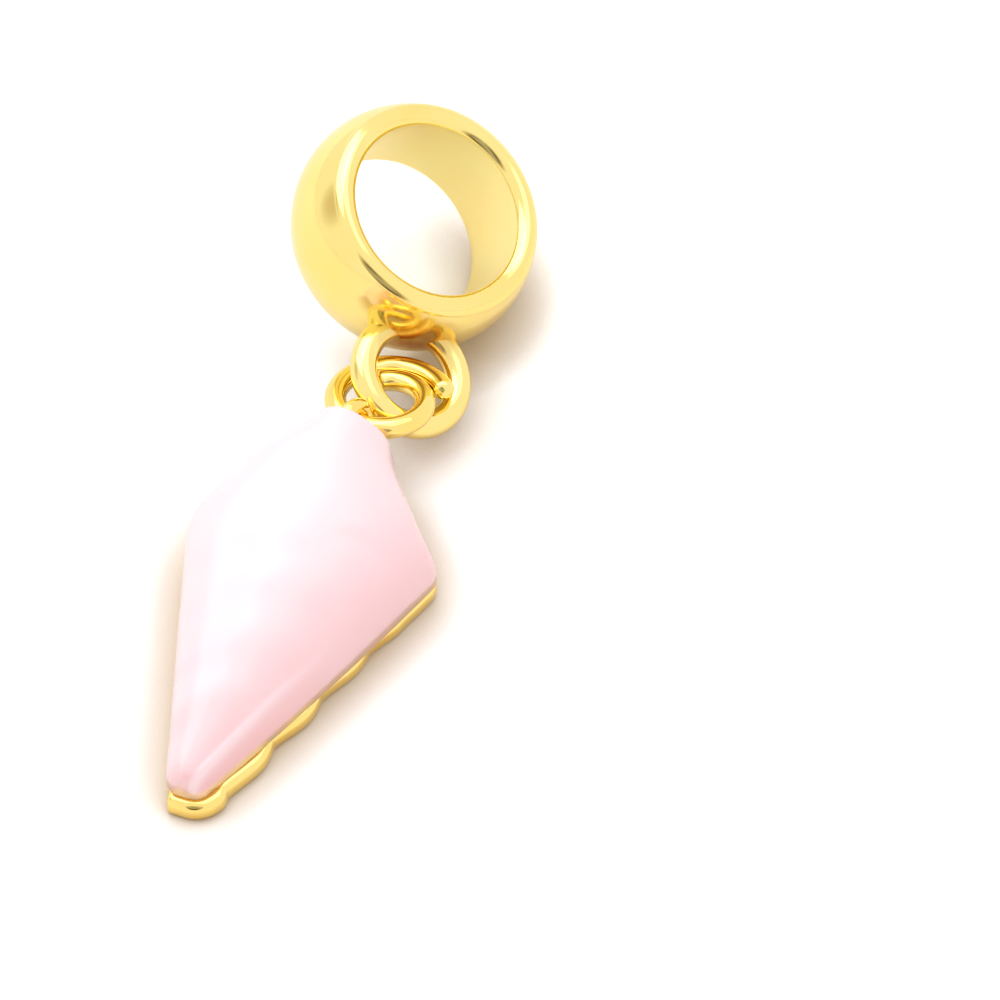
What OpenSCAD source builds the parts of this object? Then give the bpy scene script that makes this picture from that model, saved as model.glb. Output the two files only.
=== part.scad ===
// Dangle charm: a large-hole slide bead with a cast loop, a lapped wire jump ring
// and a conch-shaped drop, a gilt casting whose domed front is coated with enamel.
// The charm lies on its back: +Z is up, +Y runs from the drop's tip to the bead.

/* [Slide bead] */
// Radius of the bead's bore, for a 5 mm bracelet
bore_r = 2.5; // [2.2:0.05:2.6]
// Radius of the bead at the middle of its wall
barrel_r = 3.47; // [3.3:0.01:3.6]
// Outer radius of the bead at its two rims
rim_r = 2.98; // [2.85:0.01:3.1]
// Width of the bead along its bore
bead_w = 3.2; // [2.8:0.1:3.6]
// Angle between the bore and the vertical as the bead lies on its rim
bead_lean = 31.8; // [28:0.1:36]
// Heading of that lean, from +X
bead_heading = -8.3; // [-15:0.1:0]
// Place of the bead's centre on the surface it lies on
bead_at = [-0.526, 7.8075];

/* [Cast loop of the bead] */
// Radius of the loop along the middle of its wire
loop_r = 1.45; // [1.4:0.01:1.5]
// Radius of the loop's wire
loop_wire_r = 0.37; // [0.34:0.01:0.38]
// Distance from the bead's centre to the loop's centre
loop_reach = 4.45; // [4.4:0.01:4.5]
// Turn of the loop round the bore, from the leaning side
loop_turn = -57.6; // [-60:0.1:-55]

/* [Jump ring] */
// Radius of the ring's wire
ring_wire_r = 0.3; // [0.26:0.01:0.3]
// Radius of the ring at its outer end
ring_r = 1.67; // [1.64:0.01:1.7]
// How much the radius shrinks in one turn, so that the ends lap
ring_lap = 0.62; // [0.62:0.01:0.66]
// Angle of the outer end, in the ring's own plane
ring_start = -80; // [-90:1:-70]
// Angle that the wire covers
ring_sweep = 460; // [430:5:460]
// Tilt of the ring from lying flat
ring_lean = 13.3; // [12:0.1:15]
// Heading of that tilt, from +X
ring_heading = 111; // [108:0.1:114]
// Centre of the ring
ring_at = [0.665, 2.6075, 1.855];

/* [Conch drop] */
// Corners of the enamelled front: x, y and corner radius, from the tip round the left side
corners = [
    [-0.50, -0.20, 0.50],
    [-3.15, 7.85, 1.30],
    [-0.88, 11.62, 0.70],
    [1.38, 11.62, 0.40],
    [3.80, 8.95, 0.60],
    [0.50, -0.20, 0.50]
];
// Place of the drop's own origin, at its tip
drop_at = [0.187, -10.8055];
// Thickness of the gilt back plate
plate_t = 0.6; // [0.5:0.01:0.7]
// Bow of the scalloped side
side_bow = 0.1; // [0:0.01:0.2]
// Bow of the shoulder on the smooth side
shoulder_bow = 0.16; // [0:0.01:0.3]
// Hollow of the shoulder on the scalloped side
shoulder_hollow = 0.12; // [0:0.01:0.2]
// Distance between the scallops
scallop_pitch = 1.9; // [1.6:0.05:2.2]
// Place of the first scallop along the drop
scallop_first = 1.55; // [1.4:0.05:1.7]
// Depth of the scallops at the tip
scallop_depth = 0.24; // [0.1:0.01:0.26]
// How far the plate spreads past the enamel at the tip
tip_flare = 0.27; // [0.1:0.01:0.3]

/* [Enamel dome] */
// Height of the dome over the plate at the ring end
dome_end = 3.1; // [2.6:0.05:3.2]
// Height of the dome over the plate at the tip
dome_tip = 0.95; // [0.8:0.05:1.2]
// Thickness of the enamel over the cast core
skin = 0.45; // [0.35:0.01:0.5]
// Radius of the dome's steep edge
edge_r = 0.36; // [0.3:0.01:0.6]

/* [Eye of the drop] */
// Radius of the eye along the middle of its wire
eye_r = 0.58; // [0.56:0.01:0.6]
// Radius of the eye's wire
eye_wire_r = 0.22; // [0.2:0.01:0.24]
// Centre of the eye, from the drop's own origin
eye_at = [0, 12.09, 2.11];
// Heading of the eye's axis, from +X
eye_heading = -18.2; // [-25:0.1:-10]
// Rise of the eye's axis
eye_rise = 8.5; // [5:0.1:12]
// Radius of the lug that joins the eye to the core
lug_r = 0.42; // [0.36:0.01:0.46]

/* [Hidden] */
$fn = 96;
gap = 0.03;
bead_z = bead_w / 2 * cos(bead_lean) + rim_r * sin(bead_lean);
barrel_bulge = barrel_r - rim_r;
barrel_arc_r = (pow(bead_w / 2, 2) + pow(barrel_bulge, 2)) / (2 * barrel_bulge);
drop_end = corners[2][1];
flare_len = 5;
flare_turn = 0.7;
scallop_fade = 14;
scallop_skew = 1.5;
corner_steps = 6;
side_step = 0.42;
rim_step = 0.17;
ring_steps = 56;
ring_sides = 10;
crown_power = 1.9;
wall_share_tip = 0.6;
wall_share_end = 0.92;
edge_share = 0.3;
rim_lift = 0.02;
core_foot = 0.05;
block = 20;
outer_rows = 12;
core_rows = 8;
edge_insets = [0, 0.04, 0.11, 0.22, 0.36];
crown_shares = [0.15, 0.32, 0.5, 0.68, 0.85];
lug_in = 1.4;
lug_out = 0.52;

// Outline of the drop

function unit(v) = v / norm(v);

// Points of the arc that rounds corner p between its neighbours a and b
function corner_arc(a, p, b, r) =
    let(
        u = unit(a - p),
        v = unit(b - p),
        half = acos(u * v) / 2,
        c = p + unit(u + v) * r / sin(half),
        from = p + u * r / tan(half) - c,
        to = p + v * r / tan(half) - c,
        a0 = atan2(from[1], from[0]),
        turn = atan2(to[1], to[0]) - a0,
        swing = turn > 180 ? turn - 360 : turn < -180 ? turn + 360 : turn
    )
    [for (k = [0:corner_steps]) c + r * [cos(a0 + swing * k / corner_steps), sin(a0 + swing * k / corner_steps)]];

function xy(i) = [corners[i % 6][0], corners[i % 6][1]];
function arc_at(i) = corner_arc(xy(i + 5), xy(i), xy(i + 1), corners[i % 6][2]);

// Offset of the plate past the enamel: a flare at the tip, and scallops on the bowed side
function flare(y, out) =
    tip_flare * max(0, 1 - max(y, 0) / flare_len) * max(0, min(1, (out[0] - out[1]) / flare_turn));
function scallop(y) =
    let(turn = (y - scallop_first) / scallop_pitch + 0.5, s = turn - floor(turn))
    scallop_depth * (1 - y / scallop_fade) * sin(180 * pow(s, scallop_skew));

// Points of one side between two corner arcs: the shoulders are bowed, and the fifth side is scalloped
function side(i, step, wavy) =
    let(
        a = arc_at(i)[corner_steps],
        b = arc_at(i + 1)[0],
        n = max(2, ceil(norm(b - a) / step)),
        out = unit([-(b - a)[1], (b - a)[0]])
    )
    [for (k = [1:n - 1])
        let(s = k / n, p = a + (b - a) * s)
        i == 4
            ? p + out * (side_bow * 4 * s * (1 - s) + wavy * scallop(p[1]) * min(1, 12 * s * (1 - s)))
            : p + out * (i == 1 ? shoulder_bow : i == 3 ? -shoulder_hollow : 0) * 4 * s * (1 - s)];

function chain(from, to, step, wavy) =
    [for (i = [from:to]) each concat(arc_at(i), i < to ? side(i, step, wavy) : [])];
left_chain = chain(0, 2, side_step, 0);
right_chain = chain(3, 5, side_step, 0);
front = concat(left_chain, right_chain);

// The scalloped outline of the plate, pushed outwards by the flare of the tip
function plate() =
    let(o = concat(chain(0, 2, side_step, 0), chain(3, 5, rim_step, 1)))
    [for (k = [0:len(o) - 1])
        let(
            along = unit(o[(k + 1) % len(o)] - o[(k + len(o) - 1) % len(o)]),
            out = [-along[1], along[0]]
        )
        o[k] + out * flare(o[k][1], out)];

// Height of the dome

left_edge = [for (p = left_chain) [p[1], p[0]]];
right_edge = [for (p = right_chain) [p[1], p[0]]];
tip_y = front[0][1];

function seg_dist(p, a, b) =
    let(s = max(0, min(1, (p - a) * (b - a) / ((b - a) * (b - a)))))
    norm(p - a - (b - a) * s);
function edge_dist(p) = min([for (k = [0:len(front) - 1]) seg_dist(p, front[k], front[(k + 1) % len(front)])]);
function crown(y) = dome_end - (dome_end - dome_tip) * pow((drop_end - y) / (drop_end - tip_y), crown_power);
function wall_share(y) = wall_share_tip + (wall_share_end - wall_share_tip) * (y - tip_y) / (drop_end - tip_y);
function dome_z(p, d) =
    let(
        w = wall_share(p[1]),
        e = 1 - min(1, d / edge_r),
        half = (lookup(p[1], right_edge) - lookup(p[1], left_edge)) / 2
    )
    crown(p[1]) * (w * sqrt(1 - e * e) + (1 - w) * sin(90 * min(1, d / half)));

// The dome drawn in and sunk by inset: rows of points across, from the tip to the ring end
module dome(inset, foot, middle_rows) {
    y0 = tip_y + inset;
    y1 = drop_end - inset;
    inner = edge_insets[len(edge_insets) - 1];
    rows = concat(
        [for (d = edge_insets) y0 + d],
        [for (k = [1:middle_rows - 1]) y0 + inner + (y1 - y0 - 2 * inner) * k / middle_rows],
        [for (k = [len(edge_insets) - 1:-1:0]) y1 - edge_insets[k]]
    );
    n = 2 * len(edge_insets) + len(crown_shares);
    points = [for (j = [0:len(rows) - 1])
        let(
            y = rows[j],
            x0 = lookup(y, left_edge) + inset,
            x1 = lookup(y, right_edge) - inset,
            reach = min(inner, edge_share * (x1 - x0)),
            a = x0 + reach,
            b = x1 - reach,
            row = concat(
                [for (d = edge_insets) x0 + d * reach / inner],
                [for (f = crown_shares) a + (b - a) * f],
                [for (k = [len(edge_insets) - 1:-1:0]) x1 - edge_insets[k] * reach / inner]
            )
        )
        for (i = [0:n - 1])
            let(
                rim = i == 0 || i == n - 1 || j == 0 || j == len(rows) - 1,
                p = [row[i], y],
                z = plate_t + dome_z(p, max(0, edge_dist(p) - inset)) - inset
            )
            [row[i], y, rim ? foot : max(z, foot + rim_lift)]];
    last = len(rows) - 1;
    faces = concat(
        [for (j = [0:last - 1], i = [0:n - 2]) [j * n + i, (j + 1) * n + i, j * n + i + 1]],
        [for (j = [0:last - 1], i = [0:n - 2]) [j * n + i + 1, (j + 1) * n + i, (j + 1) * n + i + 1]],
        [for (i = [0:n - 2]) [i, i + 1, n]],
        [[n - 1, 2 * n - 1, n]],
        [for (j = [1:last - 2]) [j * n, j * n + n - 1, (j + 1) * n + n - 1]],
        [for (j = [1:last - 2]) [j * n, (j + 1) * n + n - 1, (j + 1) * n]],
        [[(last - 1) * n, last * n - 1, last * n + n - 1]],
        [for (i = [0:n - 2]) [(last - 1) * n, last * n + i + 1, last * n + i]]
    );
    polyhedron(points, faces);
}

// Pieces of the drop

module place_drop() {
    translate([drop_at[0], drop_at[1], 0]) children();
}

module turn_to_eye() {
    translate(eye_at) rotate([0, 90 - eye_rise, eye_heading]) children();
}

module torus(r, wire_r) {
    rotate_extrude() translate([r, 0]) circle(wire_r, $fn = 32);
}

// The eye's wire, thicker by clear, and the lug behind it, which ends at out
module eye(clear, out) {
    turn_to_eye() torus(eye_r, eye_wire_r + clear);
    translate([eye_at[0], eye_at[1] - lug_in, eye_at[2]])
        rotate([-90, 0, 0]) cylinder(h = lug_in - out, r = lug_r + clear, $fn = 48);
}

module shell_base() {
    color("gold") place_drop() {
        linear_extrude(plate_t) polygon(plate());
        dome(skin + gap, core_foot, core_rows);
        eye(0, lug_out);
    }
}

module shell_enamel() {
    color("mistyrose") place_drop() difference() {
        intersection() {
            translate([-block / 2, -block / 4, plate_t + gap]) cube(block);
            dome(0, plate_t / 2, outer_rows);
        }
        dome(skin - gap, 0, core_rows);
        eye(gap, 0);
    }
}

// Bead and jump ring

// Half section of the bead: a bore, two flat rims and a barrelled wall
module bead_section() {
    intersection() {
        translate([bore_r, -bead_w / 2]) square([barrel_r - bore_r, bead_w]);
        translate([barrel_r - barrel_arc_r, 0]) circle(barrel_arc_r, $fn = 96);
    }
}

module bail_bead() {
    color("gold") translate([bead_at[0], bead_at[1], bead_z])
        rotate([0, bead_lean, bead_heading])
            difference() {
                union() {
                    rotate_extrude() bead_section();
                    rotate([0, 0, loop_turn]) translate([loop_reach, 0, 0]) torus(loop_r, loop_wire_r);
                }
                cylinder(h = 2 * bead_w, r = bore_r, center = true);
            }
}

// Wire swept along a spiral of a little more than one turn, closed by flat ends
module jump_ring() {
    n = ring_sides;
    points = [for (k = [0:ring_steps], j = [0:n - 1])
        let(
            turn = ring_sweep * k / ring_steps,
            a = ring_start - turn,
            r = ring_r - ring_lap * turn / 360 + ring_wire_r * cos(360 * j / n)
        )
        [r * cos(a), r * sin(a), ring_wire_r * sin(360 * j / n)]];
    faces = concat(
        [[for (j = [0:n - 1]) j]],
        [for (k = [0:ring_steps - 1], j = [0:n - 1])
            [k * n + j, (k + 1) * n + j, (k + 1) * n + (j + 1) % n, k * n + (j + 1) % n]],
        [[for (j = [0:n - 1]) ring_steps * n + n - 1 - j]]
    );
    color("gold") translate(ring_at) rotate([0, ring_lean, ring_heading]) polyhedron(points, faces, convexity = 4);
}

bail_bead();
jump_ring();
shell_base();
shell_enamel();
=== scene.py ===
"""Dangle charm: a slide bead with a cast loop, a lapped jump ring and an enamelled conch drop."""
import math

import bmesh
import bpy
import numpy as np
from mathutils import Matrix, Vector


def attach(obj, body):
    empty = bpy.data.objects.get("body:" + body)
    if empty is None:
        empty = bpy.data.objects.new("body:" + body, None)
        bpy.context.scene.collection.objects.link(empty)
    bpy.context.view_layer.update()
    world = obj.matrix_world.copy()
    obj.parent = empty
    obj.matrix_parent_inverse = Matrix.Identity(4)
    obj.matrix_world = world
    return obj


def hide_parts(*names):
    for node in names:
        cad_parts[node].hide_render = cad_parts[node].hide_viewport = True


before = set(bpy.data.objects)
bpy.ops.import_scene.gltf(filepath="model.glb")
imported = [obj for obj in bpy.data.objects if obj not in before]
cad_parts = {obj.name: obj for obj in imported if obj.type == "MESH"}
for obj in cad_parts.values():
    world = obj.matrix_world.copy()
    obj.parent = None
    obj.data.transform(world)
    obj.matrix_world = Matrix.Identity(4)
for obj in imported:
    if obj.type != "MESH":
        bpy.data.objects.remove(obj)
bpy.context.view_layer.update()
scene = bpy.context.scene
MM = 0.001

# Camera
# A long lens looks down on the charm at 52 degrees, turned 21 degrees off the drop's long axis.
# Its place is in millimetres, as every size below is, and is scaled to metres where it is used.
camera_at = Vector((59.903, -142.982, 198.579)) * MM
camera_aim = Vector((4.303, 1.860, 0.0)) * MM
camera_data = bpy.data.cameras.new("long_lens")
camera_data.lens = 331.13
camera_data.sensor_width = 36.0
camera_data.clip_start = 0.01
camera = bpy.data.objects.new("camera", camera_data)
camera.location = camera_at
camera.rotation_euler = (camera_aim - camera_at).to_track_quat("-Z", "Y").to_euler()
scene.collection.objects.link(camera)
scene.camera = camera


# Slide bead
# The large-hole bead is cast in a yellow base metal, barrelled and mirror-polished, and then
# gilt. Its hanging loop is cast on at the middle of the wall, so bead and loop are one piece.
class Sock:
    """A node's output socket, on which Python's operators add Math nodes."""

    def __init__(self, tree, out):
        self.tree, self.out = tree, out

    def node(self, kind, settings=(), sockets=(), output=0):
        """Adds a node, with its settings, and sockets that are joined or given a value."""
        new = self.tree.nodes.new(kind)
        for key, value in dict(settings).items():
            if key == "stops":
                ramp = new.color_ramp
                while len(ramp.elements) < len(value):
                    ramp.elements.new(0.5)
                for element, (place, colour) in zip(ramp.elements, value):
                    element.position, element.color = place, (*colour, 1.0)
            else:
                setattr(new, key, value)
        for key, value in dict(sockets).items():
            if isinstance(value, Sock):
                self.tree.links.new(value.out, new.inputs[key])
            else:
                new.inputs[key].default_value = value
        return Sock(self.tree, new.outputs[output])

    def math(self, operation, *values):
        return self.node("ShaderNodeMath", {"operation": operation}, enumerate(values))

    def __add__(self, other):
        return self.math("ADD", self, other)

    def __sub__(self, other):
        return self.math("SUBTRACT", self, other)

    def __rsub__(self, other):
        return self.math("SUBTRACT", other, self)

    def __mul__(self, other):
        return self.math("MULTIPLY", self, other)

    def __truediv__(self, other):
        return self.math("DIVIDE", self, other)

    def __pow__(self, other):
        return self.math("POWER", self, other)

    __radd__, __rmul__ = __add__, __mul__

    def clamp(self):
        return self.math("MAXIMUM", self.math("MINIMUM", self, 1.0), 0.0)

    def ramp(self, *stops):
        """Colours along this value, each given as (place, (red, green, blue))."""
        return self.node("ShaderNodeValToRGB", {"stops": stops}, {"Fac": self})

    def blend(self, first, second):
        """The first colour where this value is 0, and the second where it is 1."""
        factor, first_in, second_in, colour_out = 0, 6, 7, 2
        return self.node("ShaderNodeMix", {"data_type": "RGBA"},
                         {factor: self, first_in: first, second_in: second}, colour_out)

    def axes(self):
        """The three parts of a vector."""
        split = self.node("ShaderNodeSeparateXYZ", {}, {"Vector": self}).out.node
        return [Sock(self.tree, split.outputs[axis]) for axis in "XYZ"]


def new_material(name):
    """A new material, its shader node, and the socket that its pattern starts from."""
    material = bpy.data.materials.new(name)
    material.use_nodes = True
    tree = material.node_tree
    shader = tree.nodes["Principled BSDF"]
    start = Sock(tree, tree.nodes.new("ShaderNodeTexCoord").outputs["Object"])
    return material, shader, start


def noise(place, scale, detail):
    return place.node("ShaderNodeTexNoise", {}, {"Vector": place, "Scale": scale, "Detail": detail})


def wire_up(shader, socket, value):
    value.tree.links.new(value.out, shader.inputs[socket])


def gilt(name, waviness, grain, pale=0.0, corner=None):
    """Polished gilding that waves a little; round one corner it is rougher, and painted darker and
    orange as shade and reflection.
    """
    wave_depth = 0.06 * MM
    corner_reach, corner_fade, corner_shade_and_reflection = 1.35, 0.75, (0.62, 0.26, 0.05, 1)
    material, shader, place = new_material(name)
    shader.inputs["Metallic"].default_value = 1.0
    waves = noise(place, 420.0, 2.0)
    specks = noise(place, 9000.0, 3.0)
    tone = waves.ramp((0.3, (1.0, 0.75 + pale * 0.7, 0.21 + pale)),
                      (0.7, (1.0, 0.81 + pale * 0.7, 0.28 + pale)))
    dull_and_shaded = 0.0
    # Round the corner the colour is painted darker and orange, as shade and gold-on-gold reflection,
    # and the gilding is made rougher.
    if corner:
        away = place.node("ShaderNodeVectorMath", {"operation": "DISTANCE"}, {0: place, 1: corner}, 1)
        patches = (noise(place, 1300.0, 2.0) * 2.4 - 0.55).clamp()
        dull_and_shaded = ((corner_reach - away / MM) / corner_fade).clamp() * patches
        tone = dull_and_shaded.blend(tone, corner_shade_and_reflection)
    wire_up(shader, "Base Color", tone)
    wire_up(shader, "Roughness", specks * 0.05 + dull_and_shaded * 0.14 + grain)
    bump = place.node("ShaderNodeBump", {}, {"Strength": waviness, "Distance": wave_depth,
                                             "Height": waves * 0.85 + specks * 0.02})
    wire_up(shader, "Normal", bump)
    return material


bead_bore = 2.5
bead_rim = 2.98
bead_barrel = 3.47
bead_half = 1.6
rim_roll = 0.24
rim_draw, rim_flat = 0.26, 1.12
bead_lean = math.radians(31.8)
bead_heading = math.radians(-8.3)
loop_turn = math.radians(-57.6)
bead_at = Vector((-0.526, 7.8075, bead_half * math.cos(bead_lean) + bead_rim * math.sin(bead_lean)))
bead_place = (Matrix.Translation(bead_at) @ Matrix.Rotation(bead_heading, 4, "Z")
              @ Matrix.Rotation(bead_lean, 4, "Y"))
to_loop = bead_place @ Matrix.Rotation(loop_turn, 4, "Z")
foot_reach, foot_height = 3.5, 0.15
loop_foot = to_loop @ Vector((foot_reach, 0, foot_height))
# Round the loop's feet the bead's gilding is painted darker and orange, as shade and reflection of gold
# on gold.
bead_gilt = gilt("bead_gilt", 0.35, 0.09, 0.035, loop_foot * MM)
bore_gilt = gilt("bore_gilt", 1.0, 0.34, 0.14)


def add_rings(bm, rings, closed_across=True):
    """Joins rows of points, each a closed ring, and returns the rows of vertices."""
    rows = [[bm.verts.new(p) for p in ring] for ring in rings]
    pairs = list(zip(rows, rows[1:]))
    if closed_across:
        pairs.append((rows[-1], rows[0]))
    for low, high in pairs:
        n = len(low)
        for i in range(n):
            j = (i + 1) % n
            bm.faces.new((low[i], low[j], high[j], high[i]))
    return rows


def finish_mesh(bm, name, material, place=Matrix.Identity(4)):
    """Turns faces outwards, puts the mesh at its place in metres and makes the object."""
    bmesh.ops.remove_doubles(bm, verts=bm.verts, dist=1e-5)
    bmesh.ops.recalc_face_normals(bm, faces=bm.faces)
    for face in bm.faces:
        face.smooth = True
    bm.transform(Matrix.Scale(MM, 4) @ place)
    mesh = bpy.data.meshes.new(name)
    bm.to_mesh(mesh)
    bm.free()
    mesh.materials.append(material)
    piece = bpy.data.objects.new(name, mesh)
    scene.collection.objects.link(piece)
    return piece


def bead_profile(arc_steps=26, roll_steps=24, wall_steps=14):
    """Half section of the bead: (radius, height) once round, with rolled edges."""
    bulge = bead_barrel - bead_rim
    arc_r = (bead_half ** 2 + bulge ** 2) / (2 * bulge)
    end = math.asin((bead_half - rim_roll) / arc_r)
    barrel = [(bead_barrel - arc_r + arc_r * math.cos(a), arc_r * math.sin(a))
              for a in (end * k / arc_steps for k in range(-arc_steps, arc_steps + 1))]
    rim_x, rim_z = barrel[-1]
    middle, reach = (rim_x + bead_bore) / 2, (rim_x - bead_bore) / 2
    upper = [(middle + reach * math.cos(s) * (1 - rim_draw * math.sin(s) ** 2),
              rim_z + rim_roll * math.sin(s) ** rim_flat)
             for s in (math.radians(180 * k / roll_steps) for k in range(1, roll_steps))]
    upper.append((bead_bore, rim_z))
    wall = [(bead_bore, rim_z * (1 - 2 * k / wall_steps)) for k in range(1, wall_steps)]
    lower = [(x, -z) for x, z in reversed(upper)]
    return barrel + upper + wall + lower


bead_mesh = bmesh.new()
bead_steps = 224
add_rings(bead_mesh, [[(r * math.cos(turn), r * math.sin(turn), z)
                       for turn in (2 * math.pi * i / bead_steps for i in range(bead_steps))]
                      for r, z in bead_profile()])
bead = finish_mesh(bead_mesh, "bead_barrel", bead_gilt, bead_place)
bead.data.materials.append(bore_gilt)
to_bead = bead_place.inverted()
for face in bead.data.polygons:
    if (to_bead @ (face.center / MM)).xy.length < bead_bore + 0.01:
        face.material_index = 1


# The bead's loop, the jump ring and the drop's eye are round wire that follows a path.
def wire_tree():
    """Geometry Nodes: round wire along a flat spiral with rounded ends, or closed into a ring."""
    tree = bpy.data.node_groups.new("bent_wire", "GeometryNodeTree")
    face = tree.interface
    for name, kind in (("Start Radius", "Float"), ("End Radius", "Float"), ("Turns", "Float"),
                       ("Wire Radius", "Float"), ("Closed", "Bool"), ("Finish", "Material")):
        face.new_socket(name=name, in_out="INPUT", socket_type="NodeSocket" + kind)
    face.new_socket(name="Geometry", in_out="OUTPUT", socket_type="NodeSocketGeometry")
    nodes, link = tree.nodes, tree.links.new
    given = nodes.new("NodeGroupInput").outputs

    spiral = nodes.new("GeometryNodeCurveSpiral")
    spiral.inputs["Resolution"].default_value = 150
    spiral.inputs["Reverse"].default_value = True
    spiral.inputs["Height"].default_value = 0.0
    link(given["Turns"], spiral.inputs["Rotations"])
    link(given["Start Radius"], spiral.inputs["Start Radius"])
    link(given["End Radius"], spiral.inputs["End Radius"])
    ring = nodes.new("GeometryNodeCurvePrimitiveCircle")
    ring.inputs["Resolution"].default_value = 128
    link(given["Start Radius"], ring.inputs["Radius"])
    path = nodes.new("GeometryNodeSwitch")
    path.input_type = "GEOMETRY"
    link(given["Closed"], path.inputs["Switch"])
    link(spiral.outputs["Curve"], path.inputs["False"])
    link(ring.outputs["Curve"], path.inputs["True"])

    end_length, end_width = 0.2, 0.35
    spot = Sock(tree, nodes.new("GeometryNodeSplineParameter").outputs["Length"])
    whole = Sock(tree, nodes.new("GeometryNodeSplineLength").outputs["Length"])
    left = 1.0 - (spot.math("MINIMUM", spot, whole - spot) / end_length).clamp()
    rounded = spot.math("MAXIMUM", (1.0 - left * left) ** 0.5, end_width)
    closed = Sock(tree, given["Closed"])
    taper = nodes.new("GeometryNodeSetCurveRadius")
    link(path.outputs["Output"], taper.inputs["Curve"])
    link(spot.math("MAXIMUM", rounded, closed).out, taper.inputs["Radius"])

    section = nodes.new("GeometryNodeCurvePrimitiveCircle")
    section.inputs["Resolution"].default_value = 28
    link(given["Wire Radius"], section.inputs["Radius"])
    sweep = nodes.new("GeometryNodeCurveToMesh")
    sweep.inputs["Fill Caps"].default_value = True
    link(taper.outputs["Curve"], sweep.inputs["Curve"])
    # Where the sweep has a socket for it, the wire's taper has to be joined to it.
    if "Scale" in sweep.inputs:
        link(nodes.new("GeometryNodeInputRadius").outputs["Radius"], sweep.inputs["Scale"])
    link(section.outputs["Curve"], sweep.inputs["Profile Curve"])
    smooth = nodes.new("GeometryNodeSetShadeSmooth")
    link(sweep.outputs["Mesh"], smooth.inputs["Geometry"])
    real = nodes.new("GeometryNodeRealizeInstances")
    link(smooth.outputs["Geometry"], real.inputs["Geometry"])
    finish = nodes.new("GeometryNodeSetMaterial")
    link(real.outputs["Geometry"], finish.inputs["Geometry"])
    link(given["Finish"], finish.inputs["Material"])
    link(finish.outputs["Geometry"], nodes.new("NodeGroupOutput").inputs["Geometry"])
    return tree


bent_wire = wire_tree()


def bend_wire(name, place, material, **sizes):
    """A piece made by the wire tree, with its place (millimetres) worked into its mesh."""
    piece = bpy.data.objects.new(name, bpy.data.meshes.new(name + "_seed"))
    scene.collection.objects.link(piece)
    modifier = piece.modifiers.new("bent_wire", "NODES")
    modifier.node_group = bent_wire
    values = {key.replace("_", " "): value for key, value in sizes.items()}
    values["Finish"] = material
    for item in bent_wire.interface.items_tree:
        if item.in_out == "INPUT" and item.name in values:
            modifier[item.identifier] = values[item.name]
    graph = bpy.context.evaluated_depsgraph_get()
    mesh = bpy.data.meshes.new_from_object(piece.evaluated_get(graph))
    piece.modifiers.clear()
    bm = bmesh.new()
    bm.from_mesh(mesh)
    bmesh.ops.remove_doubles(bm, verts=bm.verts, dist=1e-6)
    bmesh.ops.recalc_face_normals(bm, faces=bm.faces)
    bm.transform(Matrix.Scale(MM, 4) @ place)
    bm.to_mesh(mesh)
    bm.free()
    mesh.name = name
    if not mesh.materials:
        mesh.materials.append(material)
    piece.data = mesh
    return piece


loop_reach, loop_r, loop_wire = 4.45, 1.45, 0.37
loop = bend_wire("bead_loop", to_loop @ Matrix.Translation((loop_reach, 0, 0)), bead_gilt,
                 Start_Radius=loop_r, End_Radius=loop_r, Turns=1.0, Wire_Radius=loop_wire, Closed=True)
for piece in (bead, loop):
    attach(piece, "root")
    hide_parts("bail_bead")

# Jump ring
# A length of round gilt wire bent by hand through both loops. Its cut ends pass each other
# instead of meeting, so the ring is a short flat spiral.
ring_gilt = gilt("ring_gilt", 0.35, 0.03)
ring_wire = 0.3
ring_start = 1.67
ring_lap = 0.62
ring_turns = 460 / 360
ring_at = Vector((0.665, 2.6075, 1.855))
ring_heading, ring_lean, ring_cut = math.radians(111.0), math.radians(13.3), math.radians(-80.0)
ring_place = (Matrix.Translation(ring_at) @ Matrix.Rotation(ring_heading, 4, "Z")
              @ Matrix.Rotation(ring_lean, 4, "Y") @ Matrix.Rotation(ring_cut, 4, "Z"))
jump_ring = bend_wire("jump_ring_wire", ring_place, ring_gilt, Start_Radius=ring_start,
                      End_Radius=ring_start - ring_lap * ring_turns, Turns=ring_turns,
                      Wire_Radius=ring_wire, Closed=False)
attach(jump_ring, "root")
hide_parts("jump_ring")

# Drop, metal part
# The conch is one gilt casting: a back plate with a scalloped edge, a domed core under the
# enamel, and an eye on the end of the core for the jump ring. Here the plate, the eye and a lug
# behind it are built; the solid enamel stands in for the core.
drop_x, drop_y = 0.187, -10.8055
drop_place = Matrix.Translation((drop_x, drop_y, 0.0))
drop_end = 11.62
plate_t = 0.6

# The outline's corners are (across, along, rounding radius), from the left of the tip round by
# the eye's end. A side's bow, out or (below 0) in, is listed by the corner that it starts from.
corners = [(-0.50, -0.20, 0.50), (-3.15, 7.85, 1.30), (-0.88, drop_end, 0.70),
           (1.38, drop_end, 0.40), (3.80, 8.95, 0.60), (0.50, -0.20, 0.50)]
bows = {1: 0.16, 3: -0.12, 4: 0.10}
scallop_pitch = 1.9
scallop_first = 1.55
scallop_depth = 0.24
scallop_fade = 14
scallop_skew = 1.5
last_lobe, last_from = 0.3, (6.9, 7.9)


def corner_arc(i, steps=14):
    """Points of the arc that rounds corner i of the drop."""
    a, p, b = (np.array(corners[k % len(corners)][:2]) for k in (i - 1, i, i + 1))
    r = corners[i % len(corners)][2]
    u, v = (a - p) / np.linalg.norm(a - p), (b - p) / np.linalg.norm(b - p)
    half = math.acos(np.dot(u, v)) / 2
    c = p + (u + v) / np.linalg.norm(u + v) * r / math.sin(half)
    start, end = p + u * r / math.tan(half) - c, p + v * r / math.tan(half) - c
    a0 = math.atan2(start[1], start[0])
    swing = (math.atan2(end[1], end[0]) - a0 + math.pi) % (2 * math.pi) - math.pi
    return [c + r * np.array((math.cos(a0 + swing * k / steps), math.sin(a0 + swing * k / steps)))
            for k in range(steps + 1)]


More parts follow.
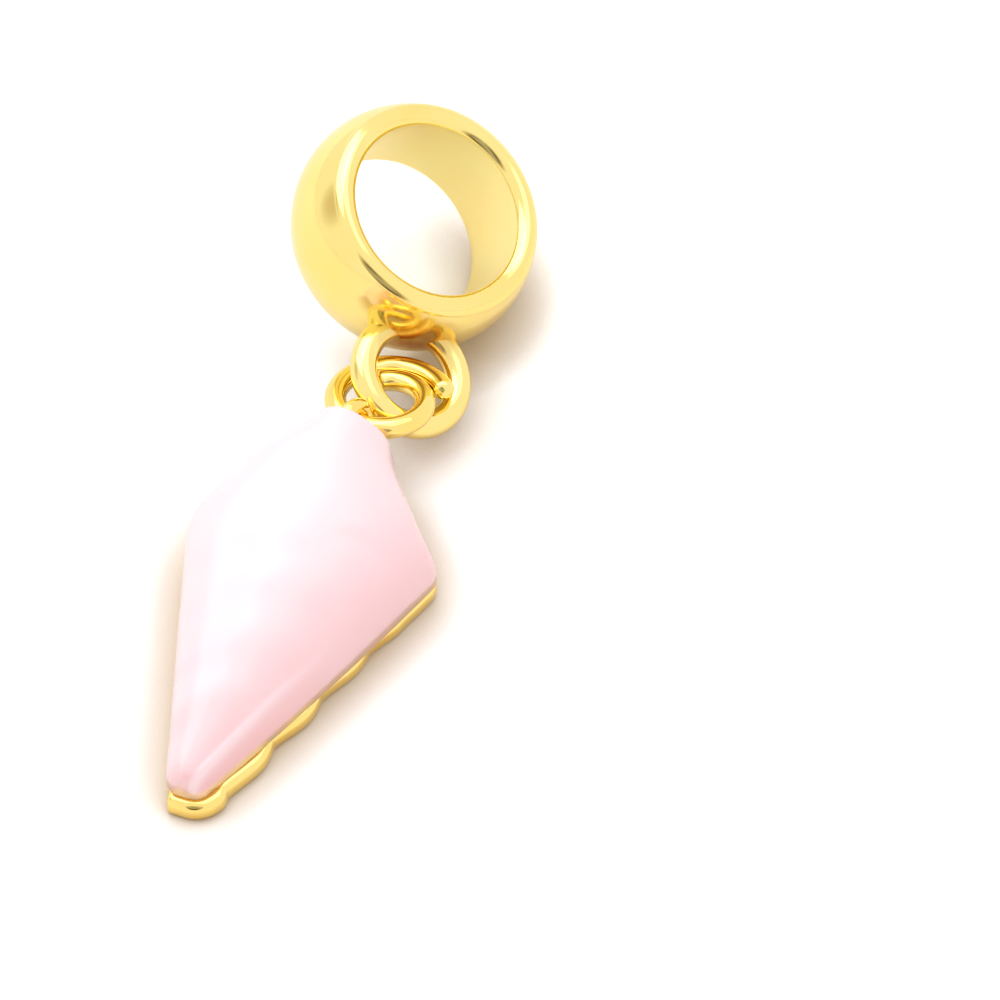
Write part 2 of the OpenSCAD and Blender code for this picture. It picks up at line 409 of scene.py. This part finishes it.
def chain(first, last, step=0.06):
    """The outline from corner first to corner last, with the bow of each side between them."""
    points = []
    for i in range(first, last + 1):
        arc = corner_arc(i)
        points += arc
        if i < last:
            a, b = arc[-1], corner_arc(i + 1)[0]
            n = max(2, math.ceil(np.linalg.norm(b - a) / step))
            out = np.array((-(b - a)[1], (b - a)[0])) / np.linalg.norm(b - a)
            for k in range(1, n):
                s = k / n
                points.append(a + (b - a) * s + out * bows.get(i, 0.0) * 4 * s * (1 - s))
    return np.array(points)


def smooth_step(x, low, high):
    t = np.clip((x - low) / (high - low), 0.0, 1.0)
    return t * t * (3 - 2 * t)


def between(x, start, end):
    """1 between two stretches and 0 outside them, eased along each, given as (from, to)."""
    return smooth_step(x, *start) * (1 - smooth_step(x, *end))


def outward(points):
    """Unit normals of a closed outline, pointing out of it."""
    along = np.roll(points, -1, 0) - np.roll(points, 1, 0)
    out = np.stack([-along[:, 1], along[:, 0]], 1)
    return out / np.maximum(np.linalg.norm(out, axis=1), 1e-9)[:, None]


def lobes(y):
    """Scallops along the drop, 0 between two: each rises slowly and drops fast, like a shingle."""
    s = np.mod((y - scallop_first) / scallop_pitch + 0.5, 1.0)
    last = smooth_step(y, *last_from)
    return np.sin(np.pi * s ** scallop_skew) * (1 - last) + last_lobe * last


def on_wavy_side(points):
    """1 on the scalloped side of the drop, fading to 0 at its two corners."""
    return (points[:, 0] > 0.1) * between(points[:, 1], (-0.2, 0.7), (8.8, 9.7))


left_edge = chain(0, 2)
right_edge = chain(3, 5)
outline = np.vstack([left_edge, right_edge])
outline_y = outline[:, 1]
tip_y = float(outline_y.min())

# The plate stands out past the enamel round the tip, and between two scallops it draws in.
# Its edge is rounded over, as (height, distance in from the outline) from the bottom up.
tip_flare, flare_end, side_in = 0.27, 5.0, 0.02
valley_in, under_in = 0.11, 0.05
edge_round = ((0.0, 0.16), (0.03, 0.07), (0.09, 0.015), (0.17, 0.0), (0.32, 0.0), (0.42, 0.02),
              (0.50, 0.06), (0.56, 0.12), (0.592, 0.19), (plate_t, 0.26), (0.59, 0.34), (0.59, 0.50))
plate_out = outward(outline)
facing_front = 0.7
facing = np.clip((plate_out[:, 0] - plate_out[:, 1]) / facing_front, 0, 1)
near_tip = np.maximum(0, 1 - np.maximum(outline_y, 0) / flare_end)
flare = tip_flare * near_tip * facing - side_in * (1 - facing)
wavy = on_wavy_side(outline)
lobe = lobes(outline_y) * scallop_depth * (1 - outline_y / scallop_fade)
sunk = valley_in * between(outline_y, (0.2, 1.8), (6.5, 8.2))
plate_edge = outline + plate_out * (flare + wavy * (lobe - sunk))[:, None]
tuck = under_in * wavy * smooth_step(outline_y, 0.6, 2.4)
levels = []
for z, inset in edge_round:
    rim = plate_edge - plate_out * (inset + tuck * (1 - z / plate_t))[:, None]
    levels.append([(x, y, z) for x, y in rim])
plate_mesh = bmesh.new()
rows = add_rings(plate_mesh, levels, closed_across=False)
plate_mesh.faces.new(rows[0])
plate_mesh.faces.new(rows[-1])
bmesh.ops.triangulate(plate_mesh, faces=[f for f in plate_mesh.faces if len(f.verts) > 4])
shell_gilt = gilt("shell_gilt", 0.6, 0.03)
plate = finish_mesh(plate_mesh, "drop_plate", shell_gilt, drop_place)

eye_r, eye_wire = 0.58, 0.22
eye_along, eye_height = 12.09, 2.11
eye_heading, eye_lean = math.radians(-18.2), math.radians(81.5)
eye_centre = drop_place @ Matrix.Translation((0.0, eye_along, eye_height))
eye_place = eye_centre @ Matrix.Rotation(eye_heading, 4, "Z") @ Matrix.Rotation(eye_lean, 4, "Y")
eye = bend_wire("drop_eye", eye_place, shell_gilt, Start_Radius=eye_r, End_Radius=eye_r, Turns=1.0,
                Wire_Radius=eye_wire, Closed=True)

# The lug is a short round pin behind the eye: (distance from the eye's middle, radius).
lug_steps = 40
lug_rounds = ((-1.4, 0.42), (-0.60, 0.42), (-0.54, 0.40), (-0.52, 0.36))
lug_mesh = bmesh.new()
lug_rows = add_rings(lug_mesh, [[(r * math.cos(t), y, r * math.sin(t))
                                 for t in (2 * math.pi * i / lug_steps for i in range(lug_steps))]
                                for y, r in lug_rounds], closed_across=False)
lug_mesh.faces.new(lug_rows[0])
lug_mesh.faces.new(lug_rows[-1])
lug = finish_mesh(lug_mesh, "eye_lug", shell_gilt, eye_centre)
for piece in (plate, eye, lug):
    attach(piece, "root")
    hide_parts("shell_base")

# Drop, enamel
# Opaque pink glass enamel, flowed over the domed front and fired; the conch's whorl ridges show
# through it as soft waves. Its pink also carries painted shade and painted highlights, set out below.
dome_end, dome_tip, dome_fall = 3.1, 0.95, 1.9
back_round, back_spread = 0.18, 0.22
end_round, front_round = 0.18, 0.44
front_drop = 0.10
whorl_pitch, whorl_first, whorl_slant = 1.72, 4.08, 0.25
whorl_rise, crease_rise, flank_drop, dent_depth = 0.022, 0.085, 0.16, 0.085
crease_x, crease_y, crease_slant, crease_width = 0.42, 0.2, 0.36, 0.12
dent_x, dent_y, dent_width, dent_bend = 2.3, 7.95, 0.22, 0.25
seam = 0.03
cell = 0.05


def edge_x(chain_points, y):
    order = np.argsort(chain_points[:, 1])
    return np.interp(y, chain_points[order, 1], chain_points[order, 0])


def inside(points):
    """True for each point between the two edge chains."""
    x, y = points[:, 0], points[:, 1]
    return (x > edge_x(left_edge, y)) & (x < edge_x(right_edge, y)) & (y > tip_y) & (y < drop_end)


def inflate(rounds=420, push=1.93):
    """A soft pillow over the outline: 0 on the edge, and smooth everywhere inside."""
    x_lo, y_lo = outline.min(0) - 2 * cell
    nx = int((outline[:, 0].max() - x_lo) / cell) + 4
    ny = int((outline_y.max() - y_lo) / cell) + 4
    gx, gy = np.meshgrid(x_lo + cell * np.arange(nx), y_lo + cell * np.arange(ny))
    mask = inside(np.stack([gx.ravel(), gy.ravel()], 1)).reshape(ny, nx)
    u = np.zeros((ny, nx))
    red = (np.add.outer(np.arange(ny), np.arange(nx)) % 2 == 0) & mask
    black = mask & ~red
    for _ in range(rounds):
        for half in (red, black):
            around = (np.roll(u, 1, 0) + np.roll(u, -1, 0) + np.roll(u, 1, 1) + np.roll(u, -1, 1)) / 4
            u = np.where(half, u + push * (around + cell * cell / 4 - u), u)
    return x_lo, y_lo, u


def sample(table, x, y):
    """Bilinear reading of the pillow at x, y."""
    x_lo, y_lo, u = table
    fx = np.clip((x - x_lo) / cell, 0, u.shape[1] - 1.001)
    fy = np.clip((y - y_lo) / cell, 0, u.shape[0] - 1.001)
    i, j = fx.astype(int), fy.astype(int)
    p, q = fx - i, fy - j
    return ((1 - p) * (1 - q) * u[j, i] + p * (1 - q) * u[j, i + 1]
            + (1 - p) * q * u[j + 1, i] + p * q * u[j + 1, i + 1])


def soften(values, times):
    """Evens out rows of values along the drop, and leaves the first and last as they are."""
    for _ in range(times):
        values[1:-1] = (values[:-2] + 2 * values[1:-1] + values[2:]) / 4


pillow = inflate()
ridge_y = np.linspace(tip_y, drop_end, 120)
ridge_u = np.array([sample(pillow, np.linspace(edge_x(left_edge, y), edge_x(right_edge, y), 60),
                           np.full(60, y)).max() for y in ridge_y])
least_u = np.interp(ridge_y, [tip_y, 1.0, 10.5, drop_end], [0.05, 0.02, 0.20, 0.08])
ridge_u = np.maximum(ridge_u, least_u)
soften(ridge_u, 6)


def dome_height(x, y):
    """Height of the enamel over the plate: a steep back wall, a full crown and a long front slope."""
    t = np.clip((drop_end - y) / (drop_end - tip_y), 0, 1)
    left, right = edge_x(left_edge, y), edge_x(right_edge, y)
    across = np.clip((2 * x - left - right) / np.maximum(right - left, 0.1), -1, 1)
    front = smooth_step(across, -0.35, 0.8)
    crown = dome_end - (dome_end - dome_tip) * t ** dome_fall
    full = np.clip(sample(pillow, x, y) / np.interp(y, ridge_y, ridge_u), 0, 1)
    wall = back_round + back_spread * t + end_round * (1 - smooth_step(t, 0.0, 0.13))
    wall = wall + (front_round - wall) * front * (1 - 0.6 * smooth_step(y, 8.6, 10.2))
    rise = crown * full ** wall * (1 - front_drop * front)
    inner = smooth_step(full, 0.1, 0.75)
    phase = 2 * np.pi * (y - whorl_first - whorl_slant * x) / whorl_pitch
    whorl = whorl_rise * np.cos(phase) * inner * between(y, (0.8, 2.4), (6.8, 8.2))
    off = x - (crease_x + crease_slant * (y - crease_y))
    crease = crease_rise * np.exp(-(off / crease_width) ** 2) * between(y, (-0.1, 0.3), (2.4, 4.8))
    flank = flank_drop * smooth_step(off, 0.0, 0.5) * inner * between(y, (0.0, 0.8), (4.0, 7.0))
    arc = y - dent_y + dent_bend * (x - dent_x) ** 2
    dent = dent_depth * np.exp(-(arc / dent_width) ** 2) * between(x, (0.8, 1.9), (2.6, 3.2))
    return rise + whorl + (crease - flank) * smooth_step(full, 0.02, 0.3) - dent


# Rows of the enamel's grid lie closer at both ends, and its columns closer at both edges.
n_rows, n_cols = 210, 110
row_ease = (np.sin(np.linspace(-np.pi / 2, np.pi / 2, n_rows)) + 1) / 2
row_y = tip_y + (drop_end - tip_y) * (0.45 * row_ease + 0.55 * np.linspace(0, 1, n_rows))
col = 0.8 * np.sin(np.linspace(-np.pi / 2, np.pi / 2, n_cols)) + 0.2 * np.linspace(-1, 1, n_cols)
grid_y = np.repeat(row_y[:, None], n_cols, 1)
lo = edge_x(left_edge, grid_y)
hi = edge_x(right_edge, grid_y)
grid_x = (lo + hi) / 2 + (hi - lo) / 2 * col[None, :]
foot = plate_t + seam
is_rim = np.zeros((n_rows, n_cols), bool)
is_rim[[0, -1], :] = is_rim[:, [0, -1]] = True
rise = dome_height(grid_x, grid_y)
soften(rise, 8)
height = np.where(is_rim, foot, np.maximum(plate_t + rise, foot + 0.01))
dome_mesh = bmesh.new()
grid = [[dome_mesh.verts.new((grid_x[j, i], grid_y[j, i], height[j, i])) for i in range(n_cols)]
        for j in range(n_rows)]
for j in range(n_rows - 1):
    for i in range(n_cols - 1):
        dome_mesh.faces.new((grid[j][i], grid[j][i + 1], grid[j + 1][i + 1], grid[j + 1][i]))
under = ([grid[0][i] for i in range(n_cols)] + [grid[j][-1] for j in range(1, n_rows)]
         + [grid[-1][i] for i in range(n_cols - 2, -1, -1)]
         + [grid[j][0] for j in range(n_rows - 2, 0, -1)])
bmesh.ops.triangulate(dome_mesh, faces=[dome_mesh.faces.new(under)])

# The tint is mottled at random and warms at the metal's edge. Painted shade deepens it towards the
# scalloped side, the tip, the flank and the hollows between the whorl ridges, and a painted highlight
# pales it along the crease.
pale_width, flank_width, low_end = 0.16, 0.35, 5.0
whorl_side, whorl_end, whorl_fade = 0.6, 8.2, 2.0
warm_top, warm_fade, warm_tone = 1.0, 0.32, (1.0, 0.66, 0.46, 1)
pink, shader, place = new_material("pink_enamel")
side, along, above = (axis / MM for axis in place.axes())
up_drop = along - drop_y
past_crease = up_drop - crease_y
off = side - drop_x - (crease_x + crease_slant * past_crease)
low = (1.0 - past_crease / low_end).clamp()
# Painted highlight: the enamel is paled along the crease. Painted shade: it is deepened on the steep
# flank beside it.
crease_highlight = (1.0 - off.math("ABSOLUTE", off) / pale_width).clamp() * low
flank = (off / flank_width).clamp() * low
# Painted shade: the enamel is deepened in the hollows between the whorl bumps, where no highlight
# falls.
turn = (up_drop - whorl_first - side * whorl_slant) * (2 * math.pi / whorl_pitch)
back = ((whorl_side - side) / whorl_fade).clamp() * (1.0 - (up_drop - whorl_end) / whorl_fade).clamp()
whorl_hollow_shade = (1.0 - turn.math("COSINE", turn)) * back
cloud = noise(place, 260.0, 2.0)
# Random mottle, plus painted shade that deepens the pink towards the scalloped side and the tip, away
# from the key lamp.
mottle_and_painted_light = (side * 0.13 - along * 0.05 - 0.02 + cloud * 0.3
        + flank * 0.36 - crease_highlight * 0.5 + whorl_hollow_shade * 0.12).clamp()
tint = mottle_and_painted_light.ramp((0.0, (0.95, 0.805, 0.895)), (0.5, (0.95, 0.77, 0.88)), (1.0, (0.88, 0.56, 0.62)))
near_metal = ((warm_top - above) / warm_fade).clamp()
wire_up(shader, "Base Color", near_metal.blend(tint, warm_tone))
wire_up(shader, "Roughness", noise(place, 1500.0, 2.0) * 0.06 + 0.17)
shader.inputs["Coat Weight"].default_value = 0.45
shader.inputs["Coat Roughness"].default_value = 0.22
shader.inputs["Subsurface Weight"].default_value = 0.12
shader.inputs["Subsurface Radius"].default_value = (0.9, 0.45, 0.5)
shader.inputs["Subsurface Scale"].default_value = 0.6 * MM
ripple = place.node("ShaderNodeBump", {}, {"Strength": 0.12, "Distance": 0.08 * MM,
                                           "Height": noise(place, 520.0, 2.0)})
wire_up(shader, "Normal", ripple)
enamel = finish_mesh(dome_mesh, "drop_enamel", pink, drop_place)
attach(enamel, "root")
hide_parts("shell_enamel")

# Table and light
# A white table under a large soft lamp at the upper left and two weak ones, in a bright tent
# of paper. Two dark cards in the tent draw the lines in the polished metal.
floor_mesh = bmesh.new()
bmesh.ops.create_grid(floor_mesh, x_segments=1, y_segments=1, size=400)
white, shader, place = new_material("white_table")
shader.inputs["Roughness"].default_value = 0.6
shader.inputs["Specular IOR Level"].default_value = 0.2
# The table's colour is painted darker and warmer close to the charm, by ambient occlusion tilted
# towards the key lamp: a painted contact shadow.
shade_reach, toward_key = 1.6 * MM, (-0.55, 0.55, 0.63)
near = place.node("ShaderNodeAmbientOcclusion", {"samples": 4},
                  {"Distance": shade_reach, "Normal": toward_key}, 1)
# For camera and glossy rays the table also emits light, a painted light that keeps it white except
# close to the charm.
rays = place.tree.nodes.new("ShaderNodeLightPath").outputs
seen = Sock(place.tree, rays["Is Camera Ray"]) + Sock(place.tree, rays["Is Glossy Ray"]) * 0.7
painted_table_glow = (near * seen).ramp((0.62, (0.0, 0.0, 0.0)), (0.94, (0.32, 0.37, 0.42)))
table_tone_and_painted_shadow = near.ramp((0.45, (0.66, 0.615, 0.57)), (0.78, (0.735, 0.695, 0.655)), (0.95, (0.82, 0.82, 0.82)))
wire_up(shader, "Base Color", table_tone_and_painted_shadow)
wire_up(shader, "Emission Color", painted_table_glow)
shader.inputs["Emission Strength"].default_value = 1.0
table = finish_mesh(floor_mesh, "white_table", white)


def soft_light(name, at, width, depth, power):
    """A rectangular lamp that hangs at a place (millimetres) and faces the charm."""
    data = bpy.data.lights.new(name, "AREA")
    data.shape = "RECTANGLE"
    data.size, data.size_y = width * MM, depth * MM
    data.energy = power
    light = bpy.data.objects.new(name, data)
    light.location = Vector(at) * MM
    light.rotation_euler = (-Vector(at)).to_track_quat("-Z", "Y").to_euler()
    scene.collection.objects.link(light)


soft_light("key_left", (-120, 60, 200), 240, 240, 0.235)
soft_light("top_paper", (30, 60, 230), 220, 160, 0.08)
soft_light("front_fill", (60, -220, 120), 160, 100, 0.02)

world = bpy.data.worlds.new("paper_tent")
scene.world = world
world.use_nodes = True
tree = world.node_tree
sky = tree.nodes["Background"]
toward = Sock(tree, tree.nodes.new("ShaderNodeTexCoord").outputs["Generated"])
east, north, up = toward.axes()


def patch(azimuth, height, inner, outer):
    """A soft round dark card in the tent, seen from the charm: 1 in its middle, 0 past its edge."""
    a, h = math.radians(azimuth), math.radians(height)
    facing = east * (math.sin(a) * math.cos(h)) + north * (math.cos(a) * math.cos(h)) + up * math.sin(h)
    far, close = math.cos(math.radians(outer)), math.cos(math.radians(inner))
    return ((facing - far) / (close - far)).clamp()


small_card, large_card = patch(-104, 22, 5, 18), patch(165, 24, 16, 27)
paper = (1.0 - (small_card * 0.38 + large_card)).clamp()
shade = paper.ramp((0.0, (0.05, 0.03, 0.02)), (0.5, (0.66, 0.54, 0.42)), (1.0, (1.0, 1.0, 1.0)))
bounce_tone = (0.92, 0.78, 0.68, 1)
bounce = Sock(tree, tree.nodes.new("ShaderNodeLightPath").outputs["Is Diffuse Ray"])
wire_up(sky, "Color", bounce.blend(shade, bounce_tone))
sky.inputs["Strength"].default_value = 1.0
scene.view_settings.view_transform = "Standard"
